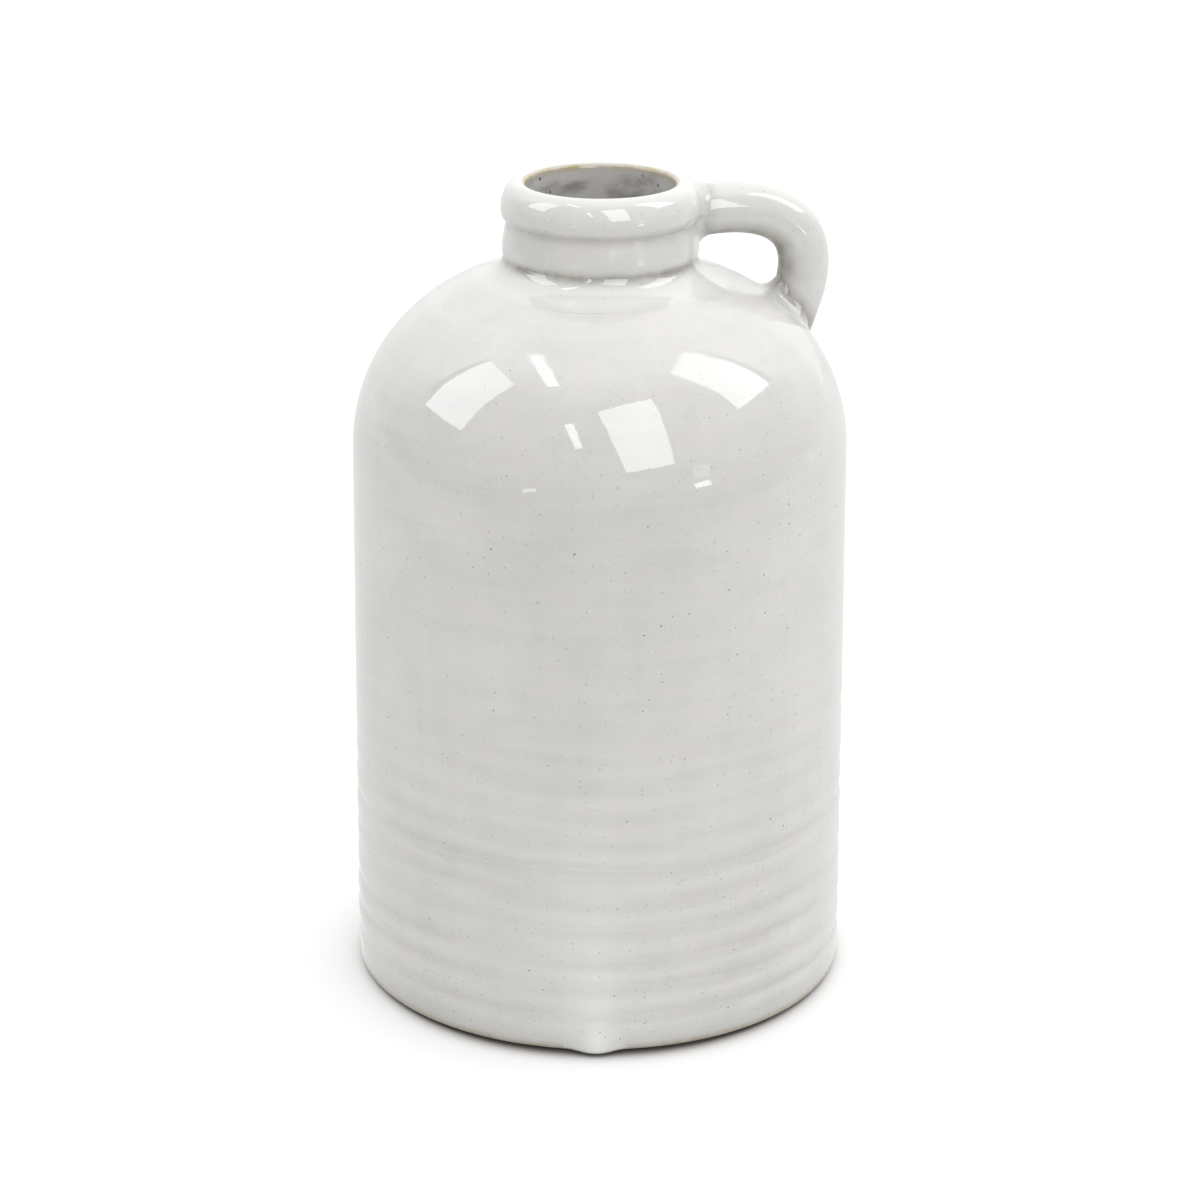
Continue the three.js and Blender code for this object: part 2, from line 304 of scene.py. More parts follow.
def speckledGlaze():
    look = glazeLook
    made, tree, shader = newFinish("speckledGlaze", {"IOR": look["refraction"]})
    place = surfaceMillimetres(tree)
    cloud = noise(tree, place, look["cloudScale"], detail=4.0, roughness=0.6)
    band = noise(tree, stretched(tree, place, look["bandScale"]), 1.0, detail=2.0)
    fine = noise(tree, place, look["fineScale"], roughness=0.6)
    # faint runs down the wall
    streak = noise(tree, stretched(tree, place, look["streakScale"]), 1.0, detail=2.0)
    tone = product(tree, band, look["bandShare"])
    for part, share in ((fine, "fineShare"), (cloud, "cloudShare"), (streak, "streakShare")):
        tone = maths(tree, "MULTIPLY_ADD", part, look[share], tone)
    colour = blendColour(tree, remap(tree, tone, *look["toneRange"]), look["grey"], look["pale"])
    patch = noise(tree, stretched(tree, place, look["patchScale"]), 1.0, roughness=0.6)
    patch = remap(tree, patch, *look["patchRange"], *look["patchShares"])
    colour = blendColour(tree, patch, colour, look["warm"])
    # run holds the thick run of glaze and painted light on the neck pieces and handle
    milkyAndPaintedLight = product(tree, painted(tree, "run"), look["milkyShare"])
    colour = blendColour(tree, milkyAndPaintedLight, colour, look["milkyAndPaintedLight"])
    # glaze gathers in creases, with painted shade there too, and breaks to tan over edges
    ragged = noise(tree, place, look["raggedScale"])
    ragged = remap(tree, ragged, *look["raggedRange"], *look["raggedShares"])
    pooled = maths(tree, "MULTIPLY", painted(tree, "pool"), ragged, clamp=True)
    colour = blendColour(tree, pooled, colour, look["oliveAndShade"])
    broken = maths(tree, "MULTIPLY", painted(tree, "thin"), ragged, clamp=True)
    colour = blendColour(tree, broken, colour, look["tan"])
    inside = painted(tree, "inside")
    ash = noise(tree, stretched(tree, place, look["ashScale"]), 1.0)
    ash = remap(tree, ash, *look["ashRange"], *look["ashShares"])
    colour = blendColour(tree, product(tree, ash, inside), colour, look["smudge"])
    marks = specks(tree, place, *speckSets[0])
    blots = product(tree, specks(tree, place, *blotSet), inside)
    dots = product(tree, specks(tree, place, *dotSet), painted(tree, "dotted"))
    for others in (specks(tree, place, *speckSets[1]), blots, dots):
        marks = maths(tree, "MAXIMUM", marks, others)
    height = node(tree, "ShaderNodeSeparateXYZ", {0: place}).outputs[2]
    faint = remap(tree, height, *look["faintHeights"], *look["faintShares"])  # paler specks towards the neck
    marks = product(tree, marks, maths(tree, "MAXIMUM", faint, inside))
    colour = blendColour(tree, marks, colour, look["iron"])
    tree.links.new(colour, shader.inputs["Base Color"])
    rough = maths(tree, "MULTIPLY_ADD", cloud, look["cloudRough"], look["roughness"])
    rough = maths(tree, "MULTIPLY_ADD", broken, look["brokenRough"], rough)
    rough = maths(tree, "MULTIPLY_ADD", painted(tree, "sponged"), look["spongedRough"], rough)
    tree.links.new(rough, shader.inputs["Roughness"])
    peel = noise(tree, place, look["peelScale"], detail=2.0)
    wave = noise(tree, place, look["waveScale"], detail=1.0)
    bumped(tree, shader, maths(tree, "MULTIPLY_ADD", wave, look["waveShare"], peel), look)
    return made


clayLook = dict(
    light=(0.36, 0.265, 0.17), dark=(0.25, 0.175, 0.105), footShade=(0.05, 0.037, 0.025), grainScale=1 / 0.9,
    patchScale=0.06, grainShare=0.5, patchShare=0.5, toneRange=(0.35, 0.65), roughRange=(0.2, 0.8),
    roughness=(0.72, 0.92), bump=0.6, bumpDepth=0.3 * mm)


def bareClay():
    made, tree, shader = newFinish("bareClay")
    look = clayLook
    place = surfaceMillimetres(tree)
    grain = noise(tree, place, look["grainScale"], detail=4.0, roughness=0.7)
    patch = product(tree, noise(tree, place, look["patchScale"]), look["patchShare"])
    share = remap(tree, maths(tree, "MULTIPLY_ADD", grain, look["grainShare"], patch), *look["toneRange"])
    colour = blendColour(tree, share, look["dark"], look["light"])
    # painted contact shade at the foot's lower edge
    colour = blendColour(tree, painted(tree, "pool"), colour, look["footShade"])
    tree.links.new(colour, shader.inputs["Base Color"])
    tree.links.new(remap(tree, grain, *look["roughRange"], *look["roughness"]), shader.inputs["Roughness"])
    bumped(tree, shader, grain, look)
    return made


glaze = speckledGlaze()
clay = bareClay()
sharpAngle = math.radians(38)
print("finishes ready")


def finished(obj, *nodes, finish=glaze, slot="speckled_glaze"):
    # last step of every piece: smooth skin, finish, and its place in the frame
    obj.data.materials.clear()
    obj.data.materials.append(finish)
    obj.data.shade_smooth()
    obj.data.set_sharp_from_angle(angle=sharpAngle)
    for key in ("run", "pool", "thin", "inside", "dotted", "sponged"):
        if obj.data.attributes.get(key) is None:
            giveValues(obj, **{key: np.zeros(len(obj.data.vertices))})
    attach(obj, "root")
    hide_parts(*nodes)
    print("piece", obj.name, len(obj.data.polygons), "faces")
    return obj


# throwing rings, as a tree that presses them into any turned skin

ringSet = dict(
    Pitch=9.95 * mm, Depth=0.58 * mm, First=12.9 * mm, Reach=110.0 * mm, Lowest=5.5 * mm, Deepest=62.6 * mm,
    Cut=0.4 * mm, Wander=5.0 * mm, Lump=0.3 * mm, Ridge=0.16 * mm, Neck=219.0 * mm, Seed=4.0)
# fixed in the tree: noise scales per metre, powers, ramps, and stain with painted shade in the grooves
ringForm = dict(
    wanderScale=14.0, lumpScale=30.0, varyScale=(11.0, 11.0, 65.0), varyRange=(0.32, 0.68),
    varyDepths=(0.4, 1.4), groovePower=1.35, fadePower=1.3, bottomRamp=5 * mm, ridgeAround=11.0,
    ridgeAcross=240.0, neckRamp=8 * mm, neckWeight=2.0, cutHalf=3.4 * mm, domeRamp=(120 * mm, 170 * mm),
    stainAndShade=0.14)


def ringTree():
    form = ringForm
    tree = bpy.data.node_groups.new("throwingRings", "GeometryNodeTree")
    face = tree.interface
    face.new_socket("Geometry", in_out="INPUT", socket_type="NodeSocketGeometry")
    for key in ringSet:
        face.new_socket(key, in_out="INPUT", socket_type="NodeSocketFloat")
    face.new_socket("Finish", in_out="INPUT", socket_type="NodeSocketMaterial")
    face.new_socket("Geometry", in_out="OUTPUT", socket_type="NodeSocketGeometry")
    given = node(tree, "NodeGroupInput").outputs
    place = node(tree, "GeometryNodeInputPosition").outputs[0]
    height = node(tree, "ShaderNodeSeparateXYZ", {0: place}).outputs[2]
    outside = node(tree, "GeometryNodeInputNamedAttribute", {"Name": "outside"}, data_type="FLOAT")
    outside = outside.outputs[0]

    def seeded(vector, scale, detail=1.0):
        names = {"Vector": vector, "W": given["Seed"], "Scale": scale, "Detail": detail}
        return node(tree, "ShaderNodeTexNoise", names, noise_dimensions="4D").outputs[0]

    def centred(value):
        return maths(tree, "SUBTRACT", value, 0.5)

    wander = product(tree, centred(seeded(place, form["wanderScale"])), given["Wander"])
    wavy = maths(tree, "ADD", height, wander)
    steps = maths(tree, "DIVIDE", maths(tree, "SUBTRACT", wavy, given["First"]), given["Pitch"])
    wave = maths(tree, "MULTIPLY_ADD", maths(tree, "COSINE", product(tree, steps, 2 * math.pi)), 0.5, 0.5)
    groove = maths(tree, "POWER", wave, form["groovePower"])
    climbed = maths(tree, "DIVIDE", maths(tree, "SUBTRACT", height, given["First"]), given["Reach"])
    fade = maths(tree, "POWER", maths(tree, "SUBTRACT", 1.0, climbed, clamp=True), form["fadePower"])
    bottom = remap(tree, height, given["Lowest"], maths(tree, "ADD", given["First"], form["bottomRamp"]))
    # depth changes from ring to ring and slowly round the pot
    vary = seeded(vectorMaths(tree, "MULTIPLY", place, form["varyScale"]), 1.0)
    vary = remap(tree, vary, *form["varyRange"], *form["varyDepths"])
    press = product(tree, groove, fade, bottom, vary, outside)
    lump = product(tree, centred(seeded(place, form["lumpScale"], 3.0)), given["Lump"], outside, bottom)
    # fine ridges low on the wall and round the neck, counted along wall and shoulder
    level = vectorMaths(tree, "MULTIPLY", place, (1.0, 1.0, 0.0))
    climb = maths(tree, "SUBTRACT", height, vectorMaths(tree, "LENGTH", level))
    climb = product(tree, climb, form["ridgeAcross"])
    around = vectorMaths(tree, "SCALE", level, Scale=form["ridgeAround"])
    spread = node(tree, "ShaderNodeSeparateXYZ", {0: around}).outputs
    thread = node(tree, "ShaderNodeCombineXYZ", {0: spread[0], 1: spread[1], 2: climb}).outputs[0]
    nearNeck = remap(tree, height, given["Neck"], maths(tree, "ADD", given["Neck"], form["neckRamp"]))
    weight = maths(tree, "MULTIPLY_ADD", nearNeck, form["neckWeight"], fade)
    ridged = product(tree, weight, given["Ridge"], product(tree, bottom, outside))
    lump = maths(tree, "MULTIPLY_ADD", centred(seeded(thread, 1.0)), ridged, lump)
    # one deeper cut, all the way round
    off = maths(tree, "ABSOLUTE", maths(tree, "SUBTRACT", wavy, given["Deepest"]))
    cut = product(tree, remap(tree, off, form["cutHalf"], 0.0), outside)
    move = maths(tree, "MULTIPLY_ADD", cut, given["Cut"], product(tree, press, given["Depth"]))
    outwards = vectorMaths(tree, "NORMALIZE", level)
    inwards = vectorMaths(tree, "SCALE", outwards, Scale=product(tree, move, -1.0))
    # lumps stand straight out of the wall, and along the normal on the shoulder
    normal = node(tree, "GeometryNodeInputNormal").outputs[0]
    upper = remap(tree, height, *form["domeRamp"])
    skinWay = node(tree, "ShaderNodeMix", {0: upper, 4: outwards, 5: normal}, data_type="VECTOR").outputs[1]
    offset = vectorMaths(tree, "ADD", inwards, vectorMaths(tree, "SCALE", skinWay, Scale=lump))
    # grooves are darkened by a stain that is also painted shade
    names = {"Geometry": given["Geometry"], "Name": "pool", "Value": product(tree, press, form["stainAndShade"])}
    marked = node(tree, "GeometryNodeStoreNamedAttribute", names, data_type="FLOAT", domain="POINT")
    names = {"Geometry": marked.outputs[0], "Offset": offset}
    moved = node(tree, "GeometryNodeSetPosition", names).outputs[0]
    whole = node(tree, "GeometryNodeRealizeInstances", {"Geometry": moved}).outputs[0]
    names = {"Geometry": whole, "Material": given["Finish"]}
    coated = node(tree, "GeometryNodeSetMaterial", names).outputs[0]
    node(tree, "NodeGroupOutput", {"Geometry": coated})
    return tree


throwingRings = ringTree()


def withRings(obj, **changes):
    name = obj.name
    values = {**ringSet, **changes}
    modifier = obj.modifiers.new("rings", "NODES")
    modifier.node_group = throwingRings
    for item in throwingRings.interface.items_tree:
        if item.in_out == "INPUT" and item.name in ringSet:
            modifier[item.identifier] = values[item.name]
        elif item.in_out == "INPUT" and item.name == "Finish":
            modifier[item.identifier] = glaze
    bpy.context.view_layer.update()
    evaluated = obj.evaluated_get(bpy.context.evaluated_depsgraph_get())
    mesh = bpy.data.meshes.new_from_object(evaluated)
    bpy.data.objects.remove(obj)
    mesh.name = name
    return linked(name, mesh)


# wall and shoulder

wallSet = dict(
    rise=166.0, taper=1.5, thickness=6.0, arc=58.0, heel=8.0, bore=23.6, seatLip=0.6, turnIn=0.6,
    turnInHeight=24.0, dottedHeight=70.0, segments=224, rowHeight=0.75, domeRow=0.9, innerRow=12.0)
shoulderZ = floorZ + wallSet["rise"]
arcCentre = wallRadius - wallSet["taper"] - wallSet["arc"]
bore = wallSet["bore"]


def turnedIn(height):
    # how much narrower the pot is close to the table
    return wallSet["turnIn"] * unit(1 - height / wallSet["turnInHeight"]) ** 2


def domeHeight(radius):
    return shoulderZ + math.sqrt(wallSet["arc"] ** 2 - max(radius - arcCentre, 0) ** 2)


def domeOutline(fromRadius, toRadius, count, arcRadius=wallSet["arc"]):
    turn = [math.degrees(math.acos((r - arcCentre) / arcRadius)) for r in (fromRadius, toRadius)]
    return arc(arcCentre, shoulderZ, arcRadius, arcRadius, turn[0], turn[1], count)


# light run of thick glaze down the front of the wall, and the bead that it ends in
runSet = dict(
    turn=-104.5, top=105.0, core=7.0, coreSpread=0.4, coreFade=1.35, coreShare=0.6, halo=17.0, haloFoot=0.7,
    haloSpread=0.9, haloShare=0.45, width=24.0, height=20.0, thickness=3.4, clearance=0.3, hang=2.2,
    fall=8.0, narrowing=0.5, leastHold=0.12, holdPower=0.6, tip=0.3, rowPower=1.5, bodyInset=0.35,
    bodyReach=1.6, edgeSink=0.06, backSink=0.5, dottedHeight=6.0, castFrom=120.0, lowestCast=0.05,
    across=48, up=56)


def runShare(points):
    turn = math.radians(runSet["turn"])
    front = points[:, 0] * math.cos(turn) + points[:, 1] * math.sin(turn)
    aside = -points[:, 0] * math.sin(turn) + points[:, 1] * math.cos(turn)
    climb = unit(points[:, 2] / runSet["top"])
    coreWidth = runSet["core"] * (1 + runSet["coreSpread"] * climb)
    haloWidth = runSet["halo"] * (runSet["haloFoot"] + runSet["haloSpread"] * climb)
    core = np.exp(-(aside / coreWidth) ** 2) * unit(1 - climb * runSet["coreFade"])
    halo = runSet["haloShare"] * np.exp(-(aside / haloWidth) ** 2) * (1 - climb)
    return np.where(front > 0, unit(core * runSet["coreShare"] + halo), 0)


def thrownWall():
    innerArc = wallSet["arc"] - wallSet["thickness"]
    innerRadius = wallRadius - wallSet["taper"] - wallSet["thickness"]
    heelRound = wallSet["heel"]
    side = evenly([[wallRadius, floorZ], [wallRadius - wallSet["taper"], shoulderZ]], wallSet["rowHeight"])
    side[:, 0] -= turnedIn(side[:, 1])
    seatRadius = collarRadius + wallSet["seatLip"]
    dome = domeOutline(arcCentre + wallSet["arc"], seatRadius, count=120)
    outer = chain(side, evenly(dome, wallSet["domeRow"]))
    innerDome = domeOutline(bore, arcCentre + innerArc, count=18, arcRadius=innerArc)
    heel = arc(innerRadius - heelRound, floorZ + heelRound, heelRound, heelRound, 0, -90, count=8)
    inner = chain([[bore, seatZ]], innerDome, evenly([innerDome[-1], heel[0]], wallSet["innerRow"]), heel)
    outline = chain(outer, inner)
    obj = turnedPiece("thrownWall", outline, wallSet["segments"])
    outside = np.repeat(np.arange(len(outline)) < len(outer) - 1, wallSet["segments"])
    giveValues(obj, outside=outside)
    obj = withRings(obj)
    points = readPoints(obj)
    dotted = unit(1 - points[:, 2] / wallSet["dottedHeight"])
    sponged = unit((points[:, 2] * mm - ringSet["Neck"]) / ringForm["neckRamp"])  # duller round the neck
    giveValues(obj, run=runShare(points) * outside, dotted=dotted * outside, sponged=sponged * outside)
    return finished(obj, "body_wall")


wall = thrownWall()


# floor slab: glazed edge band above a bare foot

footSet = dict(
    inset=4.3, edge=4.5, lip=1.3, lipRound=(0.9, 1.0), glazeGap=0.1, ringWidth=9.0, recess=2.0,
    recessSlope=3.0, partingZ=3.2, partingRadius=74.0, bandInset=8.0, breakHeight=2.5, breakPower=0.9,
    runCover=0.9, skinDepth=3.0, contactShade=1.3, contactShadeFade=0.6, contactShadeWidth=2.5, row=0.5, bevelRow=0.4)
glazeLine = footSet["lip"] - footSet["glazeGap"]


def footEdge():
    roundIn, roundUp = footSet["lipRound"]
    bevel = [[wallRadius - footSet["inset"], 0], [wallRadius - roundIn, glazeLine]]
    turned = arc(wallRadius - roundIn, footSet["lip"] + roundIn, roundIn, roundUp, -90, 0, count=10)
    upright = [turned[-1], [wallRadius, footSet["edge"]]]
    curve = chain(evenly(bevel, footSet["bevelRow"]), turned, evenly(upright, footSet["row"]))
    curve[:, 0] -= turnedIn(curve[:, 1])
    return curve


def glazedBand():
    curve = footEdge()
    lower = curve[curve[:, 1] >= glazeLine - tiny]
    upper = evenly([[wallRadius, footSet["edge"]], [wallRadius, floorZ]], footSet["row"])
    upper[:, 0] -= turnedIn(upper[:, 1])
    parting = [[0, footSet["partingZ"]], [footSet["partingRadius"], footSet["partingZ"]]]
    outline = chain(parting, chain(lower, upper), [[wallRadius - footSet["bandInset"], floorZ], [0, floorZ]])
    obj = turnedPiece("glazedBand", outline, wallSet["segments"], ring=False)
    height = readPoints(obj)[:, 2]
    skin = np.hypot(*readPoints(obj)[:, :2].T) > wallRadius - footSet["skinDepth"]
    giveValues(obj, outside=skin)
    obj = withRings(obj)
    share = runShare(readPoints(obj))
    thin = unit(1 - (height - glazeLine) / footSet["breakHeight"]) ** footSet["breakPower"]
    giveValues(obj, run=share * skin, thin=thin * skin * (1 - footSet["runCover"] * share), dotted=skin)
    return finished(obj, "base_slab")


def bareFoot():
    curve = footEdge()
    lower = curve[curve[:, 1] <= glazeLine + tiny]
    footRadius = lower[0, 0]
    standing = footRadius - footSet["ringWidth"]
    below = [[0, footSet["recess"]], [standing - footSet["recessSlope"], footSet["recess"]], [standing, 0]]
    parting = [[footSet["partingRadius"], footSet["partingZ"]], [0, footSet["partingZ"]]]
    obj = turnedPiece("bareFoot", chain(below, lower, parting), wallSet["segments"], ring=False)
    points = readPoints(obj)
    # painted contact shade on the foot's lowest edge, darker towards the table
    rimmed = np.hypot(points[:, 0], points[:, 1]) > footRadius - footSet["contactShadeWidth"]
    contactShade = footSet["contactShade"] - footSet["contactShadeFade"] * points[:, 2] / glazeLine
    giveValues(obj, pool=unit(contactShade) * rimmed)
    return finished(obj, "base_slab", finish=clay, slot="bare_clay")


band = glazedBand()
foot = bareFoot()


# fillet under the collar, collar, rolled rim

neckSet = dict(crease=4.8, tuck=0.55, bulge=7.4, groove=1.2, segments=192)
# pulls are offsets that shape a curve, stains with painted shade a strength and a width
filletSet = dict(
    reach=11.0, pulls=((0, 0), (0.5, -0.9), (1.3, -4.2)), edgePull=6.5, sink=0.8, edgeTuck=0.4,
    creaseTuck=0.6, stainAndShade=(0.65, 1.5), light=0.7, lightFrom=0.5, lightRise=3.0, lightFall=5.0, ridge=0.07 * mm)
collarSet = dict(
    lowPulls=((-0.1, 0.9), (0, 2.0)), bulgePulls=((0, 0), (0, 2.6)),
    groovePulls=((0.45, -3.6), (0, -1.6), (0, 0)), stainAndShade=(0.6, 1.8), grooveStainAndShade=(0.22, 1.5),
    light=0.12, sponged=0.7, seatTuck=0.4, boreSkin=0.1, row=1.5)
rimSet = dict(
    belly=3.6, crown=25.8, groovePulls=((0, 0), (0, 0.8)), underPulls=((0, -2.7), (0, 0)),
    overPulls=((0, 0), (0, 4.4)), crownPulls=((4.0, 0), (0, 0)), mouthPulls=((0, 0), (-0.8, 0)),
    lipPulls=((0.5, 0.3), (0, 0)), lipDrop=0.55, lipRound=(0.7, 1.3), lipSide=1.1, breakDrop=0.4,
    breakHeight=1.0, thin=0.95, grooveStainAndShade=(0.22, 2.2), grooveTuck=0.5, insideFade=1.5,
    light=0.38, lightFrom=0.4, lightRise=5.0, row=0.8)
creaseZ = seatZ + neckSet["crease"]
creaseRadius = collarRadius - neckSet["tuck"]
grooveRadius = collarRadius - neckSet["groove"]


def pulled(radius, height, pulls):
    return [(radius + out, height + up) for out, up in pulls]


def filletFace(count):
    edgeRadius = collarRadius + filletSet["reach"]
    edgeZ = domeHeight(edgeRadius)
    slope = (edgeRadius - arcCentre) / (edgeZ - shoulderZ)
    pull = filletSet["edgePull"]
    edge = [(edgeRadius - pull, edgeZ + slope * pull), (edgeRadius, edgeZ)]
    return bend(pulled(creaseRadius, creaseZ, filletSet["pulls"]) + edge, count)


def collarFace(count):
    bulgeZ = seatZ + neckSet["bulge"]
    low = pulled(collarRadius, creaseZ, collarSet["lowPulls"])
    lower = [(creaseRadius, creaseZ), *low, (collarRadius, bulgeZ)]
    upper = pulled(collarRadius, bulgeZ, collarSet["bulgePulls"])
    upper += pulled(grooveRadius, grooveZ, collarSet["groovePulls"])
    return chain(bend(lower, count), bend(upper, count))


def rimFace(count):
    bellyZ = grooveZ + rimSet["belly"]
    under = pulled(grooveRadius, grooveZ, rimSet["groovePulls"])
    under += pulled(rimRadius, bellyZ, rimSet["underPulls"])
    over = pulled(rimRadius, bellyZ, rimSet["overPulls"])
    over += pulled(rimSet["crown"], rimTop, rimSet["crownPulls"])
    return chain(bend(under, count), bend(over, count))


def middling(count, total, ramp):
    # rows of an outline that may be uneven: none at both ends of its first rows, nor behind them
    at = np.arange(total)
    return unit(np.minimum(at, count - 1 - at) / ramp)


def giveRows(obj, **rows):
    # one value for each row of a turned neck piece
    giveValues(obj, **{key: np.repeat(row, neckSet["segments"]) for key, row in rows.items()})


def stainedAndShaded(away, stainAndShade):
    strength, width = stainAndShade
    return np.exp(-(away / width) ** 2) * strength


def neckFillet():
    face = filletFace(40)
    under = np.linspace(face[-1, 0] - filletSet["edgeTuck"], creaseRadius - filletSet["creaseTuck"], 6)
    below = [(r, domeHeight(r) - filletSet["sink"]) for r in under]
    obj = turnedPiece("neckFillet", chain(face, below), neckSet["segments"])
    hidden = np.zeros(len(below))
    giveRows(obj, outside=middling(len(face), len(face) + len(below), ramp=8))
    obj = withRings(obj, Ridge=filletSet["ridge"])
    away = np.linalg.norm(face - face[0], axis=1)
    # painted light on the fillet, carried by the run attribute
    light = unit(away / filletSet["lightRise"] - filletSet["lightFrom"]) * filletSet["light"]
    light *= unit((away[-1] - away) / filletSet["lightFall"])
    # stain and painted shade in the crease under the collar
    giveRows(obj, pool=np.concatenate([stainedAndShaded(away, filletSet["stainAndShade"]), hidden]),
             run=np.concatenate([light, hidden]))
    return finished(obj, "neck_lute")


def neckCollar():
    face = collarFace(26)
    within = evenly([[bore, grooveZ], [bore, seatZ]], collarSet["row"])
    outline = chain(face, [[bore, grooveZ]], within, [[creaseRadius - collarSet["seatTuck"], seatZ]])
    obj = turnedPiece("neckCollar", outline, neckSet["segments"])
    giveRows(obj, outside=middling(len(face), len(outline), ramp=12))
    obj = withRings(obj, Ridge=0.0)
    pool = np.zeros(len(outline))
    # stain and painted shade at the crease and the groove
    pool[:len(face)] = stainedAndShaded(face[:, 1] - creaseZ, collarSet["stainAndShade"])
    pool[:len(face)] += stainedAndShaded(face[:, 1] - grooveZ, collarSet["grooveStainAndShade"])
    inside = outline[:, 0] < bore + collarSet["boreSkin"]
    # painted light on the collar's outside, carried by the run attribute
    giveRows(obj, pool=pool, inside=inside, sponged=collarSet["sponged"] * ~inside,
             run=collarSet["light"] * ~inside)
    return finished(obj, "neck_collar")


def rolledRim():
    face = rimFace(36)
    lipZ = rimTop - rimSet["lipDrop"]
    lipIn, lipDown = rimSet["lipRound"]
    mouth = pulled(rimSet["crown"], rimTop, rimSet["mouthPulls"])
    inwards = bend(mouth + pulled(bore + lipIn, lipZ, rimSet["lipPulls"]), count=16)
    edge = arc(bore + lipIn, lipZ - lipDown, lipIn, lipDown, 90, 180, count=14)
    outline = chain(face, inwards, edge, evenly([[bore, lipZ - lipDown], [bore, grooveZ]], rimSet["row"]))
    obj = turnedPiece("rolledRim", outline, neckSet["segments"])
    giveRows(obj, outside=middling(len(face) + len(inwards), len(outline), ramp=16))
    obj = withRings(obj, Ridge=0.0)
    radius, rise = outline[:, 0], outline[:, 1] - grooveZ
    height = outline[:, 1] - (lipZ - rimSet["breakDrop"])
    lipSide = radius < bore + rimSet["lipSide"]
    thin = stainedAndShaded(height, (rimSet["thin"], rimSet["breakHeight"])) * lipSide
    # stain and painted shade in the groove under the rim
    groove = stainedAndShaded(rise, rimSet["grooveStainAndShade"]) * (radius > grooveRadius - rimSet["grooveTuck"])
    inside = lipSide * unit(-height / rimSet["insideFade"])
    # painted light on the rim's outside, carried by the run attribute
    light = unit(rise / rimSet["lightRise"] - rimSet["lightFrom"]) * rimSet["light"] * ~lipSide
    giveRows(obj, thin=thin, pool=groove, inside=inside, run=light)
    return finished(obj, "rolled_rim")


fillet = neckFillet()
collar = neckCollar()
rim = rolledRim()
vesselSkin = treeOf(wall, fillet, collar, rim)
bareDome = domeOutline(arcCentre + wallSet["arc"], collarRadius + filletSet["reach"], count=60)
vesselOutline = chain(bareDome, filletFace(24)[::-1], collarFace(14), rimFace(20),
                      [[0, rimTop], [0, shoulderZ]])


def vesselDistance(points):
    # signed distance to the turned outside of the pot, above the shoulder line
    flat = np.column_stack([np.hypot(points[:, 0], points[:, 1]), points[:, 2]])
    ends = np.roll(vesselOutline, -1, axis=0)
    nearest = np.full(len(flat), np.inf)
    inside = np.zeros(len(flat), bool)
    for a, b in zip(vesselOutline, ends):
        ab = b - a
        share = unit(((flat - a) @ ab) / max(ab @ ab, tiny ** 2))
        nearest = np.minimum(nearest, np.linalg.norm(flat - a - share[:, None] * ab, axis=1))
        crosses = (a[1] > flat[:, 1]) != (b[1] > flat[:, 1])
        level = a[0] + (flat[:, 1] - a[1]) * ab[0] / (ab[1] if abs(ab[1]) > tiny ** 2 else tiny ** 2)
        inside ^= crosses & (flat[:, 0] < level)
    return np.where(inside, -nearest, nearest)


# ear handle and the clay worked round its two ends

handleSet = dict(
    walks=90, walkLimits=(-2, 6), walkShare=0.95,
    radius=8.2, start=(27.4, 252.2), firstPull=(58.8, 258.1), lastPull=(76.2, 245.1), foot=(62.5, 216.72),
    sink=3.0, freeFrom=4.0, sides=96, rowStep=0.9, undersideShadeFrom=0.3, undersideShadePower=1.7, nearShade=1.9,
    nearReach=3.5, nearSplit=235.0, nearFoot=0.62, nearRim=0.4, mostShade=0.9, light=0.25)
# clay round the handle's ends: height along the handle, reach over the pot and bead, each as three numbers
# for the outside of the bend, its inside and the two flanks
upperLuteSet = dict(
    rise=(5.6, 4.8, 4.0), reach=(3.8, 3.6, 3.2), bead=(-0.3, 0.1, 0.0), press=0.08, seed=1.3, stainAndShade=0.45,
    fade=2.5, hem=0.35)
lowerLuteSet = dict(
    rise=(0.8, 7.0, 3.8), reach=(0.5, 7.0, 5.4), bead=(0.0, 0.5, 1.1), press=0.2, seed=4.1, stainAndShade=0.78,
    fade=1.3, hem=0.25)
# common to both: waves round the handle (size, number, seed's share), rows, pulls and how far edges are sunk
luteForm = dict(
    waves=((0.6, 3, 1.0), (0.4, 5, 2.3)), outerShare=1.7,
    faceRows=18, stainRows=14, bendShade=0.4, probe=0.25, beadPull=1.7, settle=0.6, reachPress=0.5,
    edgeSink=0.02, startSink=0.06, bury=1.0, buryIn=0.3, core=1.5)
sideways = np.array([0.0, 1.0, 0.0])


def roundMix(three):
    outer = np.cos(handleTurn)
    share = unit(luteForm["outerShare"] * outer) ** 2 + unit(-outer) ** 2
    return np.where(outer > 0, three[0], three[1]) * share + three[2] * (1 - share)


def handleLine():
    flat = bend([handleSet[key] for key in ("start", "firstPull", "lastPull", "foot")], count=400)
    return np.column_stack([flat[:, 0], np.zeros(len(flat)), flat[:, 1]])


centreLine = handleLine()
freeSpan = np.nonzero(vesselDistance(centreLine) > handleSet["freeFrom"])[0]
upperIndex, lowerIndex = int(freeSpan[0]), int(freeSpan[-1])
handleTurn = fullTurn(handleSet["sides"])


def endAxes(backwards):
    index = upperIndex if backwards else lowerIndex
    ahead = centreLine[index + 1] - centreLine[index - 1]
    ahead /= np.linalg.norm(ahead)
    return centreLine[index], -ahead if backwards else ahead, np.cross(ahead, sideways)


